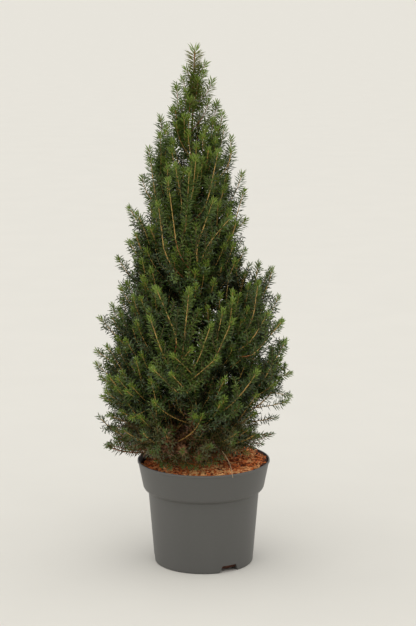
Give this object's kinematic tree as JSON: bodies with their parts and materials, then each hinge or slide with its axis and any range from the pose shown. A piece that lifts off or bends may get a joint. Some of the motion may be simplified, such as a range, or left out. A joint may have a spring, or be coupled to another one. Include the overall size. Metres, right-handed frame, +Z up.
{
  "type": "potted dwarf conical spruce",
  "caption": "Dwarf conical spruce in a round nursery pot topped with bark mulch: trunk, boughs and masses of needle foliage that narrow to a leader.",
  "frame": {"origin": "centre of the pot's flat underside, on the ground", "axes": "+Z up along the pot's axis and the trunk, +X towards the fuller shoulder of the crown, -Y towards the front"},
  "size_m": [0.3389, 0.3208, 0.8886],
  "materials": {
    "pot_plastic": "grey moulded polypropylene with a soft satin sheen",
    "bark_mulch": "loose reddish-brown bark chips over potting compost",
    "spruce_bark": "rough scaly brown bark",
    "spruce_foliage": "short stiff green needles all round thin tan shoots"
  },
  "bodies": {
    "root": {"bark_mulch": "bark_mulch", "bough_01": "spruce_bark", "bough_02": "spruce_bark", "bough_03": "spruce_bark", "bough_04": "spruce_bark", "bough_05": "spruce_bark", "bough_06": "spruce_bark", "bough_07": "spruce_bark", "bough_08": "spruce_bark", "bough_09": "spruce_bark", "bough_10": "spruce_bark", "bough_11": "spruce_bark", "bough_12": "spruce_bark", "bough_13": "spruce_bark", "bough_14": "spruce_bark", "bough_15": "spruce_bark", "bough_16": "spruce_bark", "bough_17": "spruce_bark", "bough_18": "spruce_bark", "bough_19": "spruce_bark", "bough_20": "spruce_bark", "bough_21": "spruce_bark", "bough_22": "spruce_bark", "bough_23": "spruce_bark", "foliage_01": "spruce_foliage", "foliage_02": "spruce_foliage", "foliage_03": "spruce_foliage", "foliage_04": "spruce_foliage", "foliage_05": "spruce_foliage", "foliage_06": "spruce_foliage", "foliage_07": "spruce_foliage", "foliage_08": "spruce_foliage", "foliage_09": "spruce_foliage", "foliage_10": "spruce_foliage", "foliage_11": "spruce_foliage", "foliage_12": "spruce_foliage", "foliage_13": "spruce_foliage", "foliage_14": "spruce_foliage", "foliage_15": "spruce_foliage", "foliage_16": "spruce_foliage", "foliage_17": "spruce_foliage", "foliage_18": "spruce_foliage", "foliage_19": "spruce_foliage", "foliage_20": "spruce_foliage", "foliage_21": "spruce_foliage", "foliage_22": "spruce_foliage", "foliage_23": "spruce_foliage", "foliage_24": "spruce_foliage", "foliage_25": "spruce_foliage", "foliage_26": "spruce_foliage", "foliage_27": "spruce_foliage", "foliage_28": "spruce_foliage", "foliage_29": "spruce_foliage", "foliage_30": "spruce_foliage", "leader_foliage": "spruce_foliage", "pot": "pot_plastic", "trunk": "spruce_bark"}
  },
  "joints": []
}
